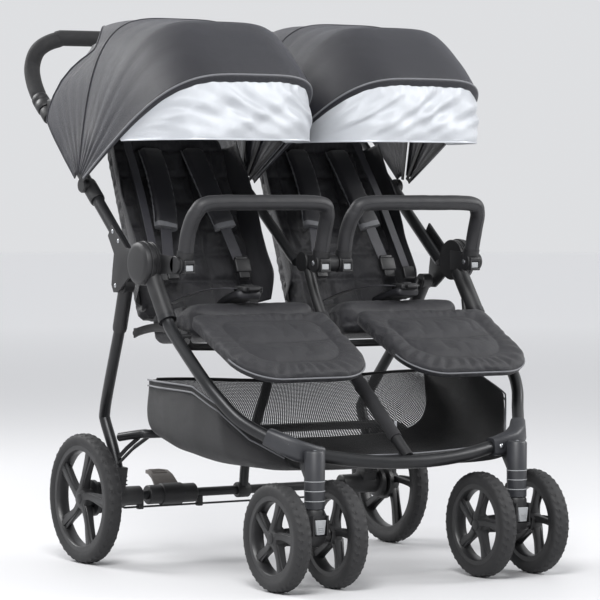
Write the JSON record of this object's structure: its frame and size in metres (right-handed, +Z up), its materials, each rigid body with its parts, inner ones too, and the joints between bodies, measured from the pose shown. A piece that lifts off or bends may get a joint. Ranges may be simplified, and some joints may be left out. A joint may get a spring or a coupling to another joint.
{
  "type": "double stroller",
  "caption": "Folding side-by-side stroller: tube frame, swivelling twin casters, braked rear wheels, reclining seats, swing bars, hoods with visors and a basket.",
  "frame": {"origin": "on the floor, at the middle of the whole object's box", "axes": "+X to the riders' left, +Y to the rear and the push handle, +Z up"},
  "size_m": [0.7682, 0.9522, 1.0599],
  "materials": {
    "frame_tube": "satin black anodised tube",
    "dark_plastic": "fine moulded grain",
    "light_plastic": "smooth moulded grey",
    "grip_foam": "closed-cell foam",
    "tyre": "matte rubber",
    "steel": "bright zinc plate",
    "seat_fabric": "quilted woven polyester",
    "canopy_fabric": "coated woven polyester with a slight sheen",
    "silver_fabric": "pale coated woven polyester",
    "basket_fabric": "plain woven polyester"
  },
  "bodies": {
    "root": {"front_leg_left": "frame_tube", "front_leg_right": "frame_tube", "front_crossbar": "frame_tube", "caster_housing_left": "dark_plastic", "caster_housing_right": "dark_plastic", "centre_front_frame": "frame_tube", "hinge_base_left": "dark_plastic", "hinge_base_right": "dark_plastic", "seat_base_left": "seat_fabric", "seat_base_right": "seat_fabric", "basket": "basket_fabric"},
    "upper_frame": {"hinge_cap_left": "dark_plastic", "hinge_cap_right": "dark_plastic", "upper_tube_left": "frame_tube", "upper_tube_right": "frame_tube", "centre_upper_tube": "frame_tube", "handle_tube": "frame_tube", "handle_grip": "grip_foam", "canopy_rear_left": "canopy_fabric", "canopy_rear_right": "canopy_fabric"},
    "rear_frame": {"rear_leg_left": "frame_tube", "rear_leg_right": "frame_tube", "rear_axle": "frame_tube", "rear_cross_tube": "frame_tube", "centre_rear_leg": "frame_tube"},
    "brake_pedal": {"brake_pedal": "dark_plastic"},
    "fold_link_left": {"fold_link_left": "dark_plastic"},
    "caster_left": {"caster_fork_left": "dark_plastic"},
    "front_wheel_outer_left": {"front_rim_outer_left": "dark_plastic", "front_tyre_outer_left": "tyre"},
    "front_wheel_inner_left": {"front_rim_inner_left": "dark_plastic", "front_tyre_inner_left": "tyre"},
    "swivel_lock_left": {"swivel_lock_left": "light_plastic"},
    "rear_wheel_left": {"rear_rim_left": "dark_plastic", "rear_tyre_left": "tyre"},
    "canopy_left": {"canopy_hood_left": "canopy_fabric"},
    "visor_left": {"visor_left": "silver_fabric"},
    "seat_back_left": {"seat_back_left": "seat_fabric"},
    "leg_rest_left": {"leg_rest_left": "seat_fabric"},
    "bumper_left": {"bumper_bar_left": "grip_foam"},
    "bumper_button_outer_left": {"bumper_button_outer_left": "light_plastic"},
    "bumper_button_inner_left": {"bumper_button_inner_left": "light_plastic"},
    "brake_pin_left": {"brake_pin_left": "steel"},
    "fold_link_right": {"fold_link_right": "dark_plastic"},
    "caster_right": {"caster_fork_right": "dark_plastic"},
    "front_wheel_outer_right": {"front_rim_outer_right": "dark_plastic", "front_tyre_outer_right": "tyre"},
    "front_wheel_inner_right": {"front_rim_inner_right": "dark_plastic", "front_tyre_inner_right": "tyre"},
    "swivel_lock_right": {"swivel_lock_right": "light_plastic"},
    "rear_wheel_right": {"rear_rim_right": "dark_plastic", "rear_tyre_right": "tyre"},
    "canopy_right": {"canopy_hood_right": "canopy_fabric"},
    "visor_right": {"visor_right": "silver_fabric"},
    "seat_back_right": {"seat_back_right": "seat_fabric"},
    "leg_rest_right": {"leg_rest_right": "seat_fabric"},
    "bumper_right": {"bumper_bar_right": "grip_foam"},
    "bumper_button_outer_right": {"bumper_button_outer_right": "light_plastic"},
    "bumper_button_inner_right": {"bumper_button_inner_right": "light_plastic"},
    "brake_pin_right": {"brake_pin_right": "steel"}
  },
  "joints": [
    {"name": "fold", "type": "hinge", "parent": "root", "child": "upper_frame", "pos_m": [0, -0.022, 0.589], "axis": [1, 0, 0], "range_deg": [0, 85]},
    {"name": "rear_leg_fold", "type": "hinge", "parent": "upper_frame", "child": "rear_frame", "pos_m": [0, 0.074, 0.545], "axis": [1, 0, 0], "range_deg": [-90, 0]},
    {"name": "side_link_left", "type": "hinge", "parent": "root", "child": "fold_link_left", "pos_m": [0.309, -0.1, 0.452], "axis": [1, 0, 0], "range_deg": [0, 40]},
    {"name": "caster_swivel_left", "type": "hinge", "parent": "root", "child": "caster_left", "pos_m": [0.225, -0.408, 0.15], "axis": [0, 0, 1], "continuous": true},
    {"name": "front_wheel_spin_outer_left", "type": "hinge", "parent": "caster_left", "child": "front_wheel_outer_left", "pos_m": [0.2855, -0.377, 0.099], "axis": [1, 0, 0], "continuous": true},
    {"name": "front_wheel_spin_inner_left", "type": "hinge", "parent": "caster_left", "child": "front_wheel_inner_left", "pos_m": [0.1645, -0.377, 0.099], "axis": [1, 0, 0], "continuous": true},
    {"name": "swivel_lock_left", "type": "hinge", "parent": "caster_left", "child": "swivel_lock_left", "pos_m": [0.225, -0.4255, 0.13], "axis": [-1, 0, 0], "range_deg": [0, 20]},
    {"name": "rear_wheel_spin_left", "type": "hinge", "parent": "rear_frame", "child": "rear_wheel_left", "pos_m": [0.357, 0.219, 0.1265], "axis": [1, 0, 0], "continuous": true},
    {"name": "canopy_fold_left", "type": "hinge", "parent": "upper_frame", "child": "canopy_left", "pos_m": [0.194, 0.202, 0.735], "axis": [-1, 0, 0], "range_deg": [0, 45]},
    {"name": "visor_flip_left", "type": "hinge", "parent": "canopy_left", "child": "visor_left", "pos_m": [0.194, -0.14696, 0.94055], "axis": [-1, 0, 0], "range_deg": [0, 60]},
    {"name": "recline_left", "type": "hinge", "parent": "upper_frame", "child": "seat_back_left", "pos_m": [0.187, 0.092, 0.47], "axis": [-1, 0, 0], "range_deg": [0, 35]},
    {"name": "leg_rest_tilt_left", "type": "hinge", "parent": "root", "child": "leg_rest_left", "pos_m": [0.187, -0.131, 0.49], "axis": [-1, 0, 0], "range_deg": [-25, 25]},
    {"name": "bumper_swing_left", "type": "hinge", "parent": "root", "child": "bumper_left", "pos_m": [0.1755, -0.1105, 0.587], "axis": [1, 0, 0], "range_deg": [0, 70]},
    {"name": "bumper_button_outer_left", "type": "slide", "parent": "bumper_left", "child": "bumper_button_outer_left", "axis": [0, 1, 0], "range_m": [0, 0.003], "stiffness_N_per_m": 300},
    {"name": "bumper_button_inner_left", "type": "slide", "parent": "bumper_left", "child": "bumper_button_inner_left", "axis": [0, 1, 0], "range_m": [0, 0.003], "stiffness_N_per_m": 300},
    {"name": "brake_pin_left", "type": "slide", "parent": "rear_frame", "child": "brake_pin_left", "axis": [1, 0, 0], "range_m": [0, 0.008]},
    {"name": "side_link_right", "type": "hinge", "parent": "root", "child": "fold_link_right", "pos_m": [-0.309, -0.1, 0.452], "axis": [1, 0, 0], "range_deg": [0, 40]},
    {"name": "caster_swivel_right", "type": "hinge", "parent": "root", "child": "caster_right", "pos_m": [-0.225, -0.408, 0.15], "axis": [0, 0, 1], "continuous": true},
    {"name": "front_wheel_spin_outer_right", "type": "hinge", "parent": "caster_right", "child": "front_wheel_outer_right", "pos_m": [-0.2855, -0.377, 0.099], "axis": [1, 0, 0], "continuous": true},
    {"name": "front_wheel_spin_inner_right", "type": "hinge", "parent": "caster_right", "child": "front_wheel_inner_right", "pos_m": [-0.1645, -0.377, 0.099], "axis": [1, 0, 0], "continuous": true},
    {"name": "swivel_lock_right", "type": "hinge", "parent": "caster_right", "child": "swivel_lock_right", "pos_m": [-0.225, -0.4255, 0.13], "axis": [-1, 0, 0], "range_deg": [0, 20]},
    {"name": "rear_wheel_spin_right", "type": "hinge", "parent": "rear_frame", "child": "rear_wheel_right", "pos_m": [-0.357, 0.219, 0.1265], "axis": [1, 0, 0], "continuous": true},
    {"name": "canopy_fold_right", "type": "hinge", "parent": "upper_frame", "child": "canopy_right", "pos_m": [-0.194, 0.202, 0.735], "axis": [-1, 0, 0], "range_deg": [0, 45]},
    {"name": "visor_flip_right", "type": "hinge", "parent": "canopy_right", "child": "visor_right", "pos_m": [-0.194, -0.14696, 0.94055], "axis": [-1, 0, 0], "range_deg": [0, 60]},
    {"name": "recline_right", "type": "hinge", "parent": "upper_frame", "child": "seat_back_right", "pos_m": [-0.187, 0.092, 0.47], "axis": [-1, 0, 0], "range_deg": [0, 35]},
    {"name": "leg_rest_tilt_right", "type": "hinge", "parent": "root", "child": "leg_rest_right", "pos_m": [-0.187, -0.131, 0.49], "axis": [-1, 0, 0], "range_deg": [-25, 25]},
    {"name": "bumper_swing_right", "type": "hinge", "parent": "root", "child": "bumper_right", "pos_m": [-0.1755, -0.1105, 0.587], "axis": [1, 0, 0], "range_deg": [0, 70]},
    {"name": "bumper_button_outer_right", "type": "slide", "parent": "bumper_right", "child": "bumper_button_outer_right", "axis": [0, 1, 0], "range_m": [0, 0.003], "stiffness_N_per_m": 300},
    {"name": "bumper_button_inner_right", "type": "slide", "parent": "bumper_right", "child": "bumper_button_inner_right", "axis": [0, 1, 0], "range_m": [0, 0.003], "stiffness_N_per_m": 300},
    {"name": "brake_pin_right", "type": "slide", "parent": "rear_frame", "child": "brake_pin_right", "axis": [-1, 0, 0], "range_m": [0, 0.008]},
    {"name": "brake_pedal_press", "type": "hinge", "parent": "rear_frame", "child": "brake_pedal", "pos_m": [-0.165, 0.219, 0.1265], "axis": [-1, 0, 0], "range_deg": [0, 22]}
  ],
  "couplings": [
    {"joint": "rear_leg_fold", "follows": "fold", "ratio": -1.05},
    {"joint": "side_link_left", "follows": "fold", "ratio": 0.455},
    {"joint": "brake_pin_left", "follows": "brake_pedal_press", "m_per_rad": 0.02},
    {"joint": "side_link_right", "follows": "fold", "ratio": 0.455},
    {"joint": "brake_pin_right", "follows": "brake_pedal_press", "m_per_rad": 0.02}
  ]
}
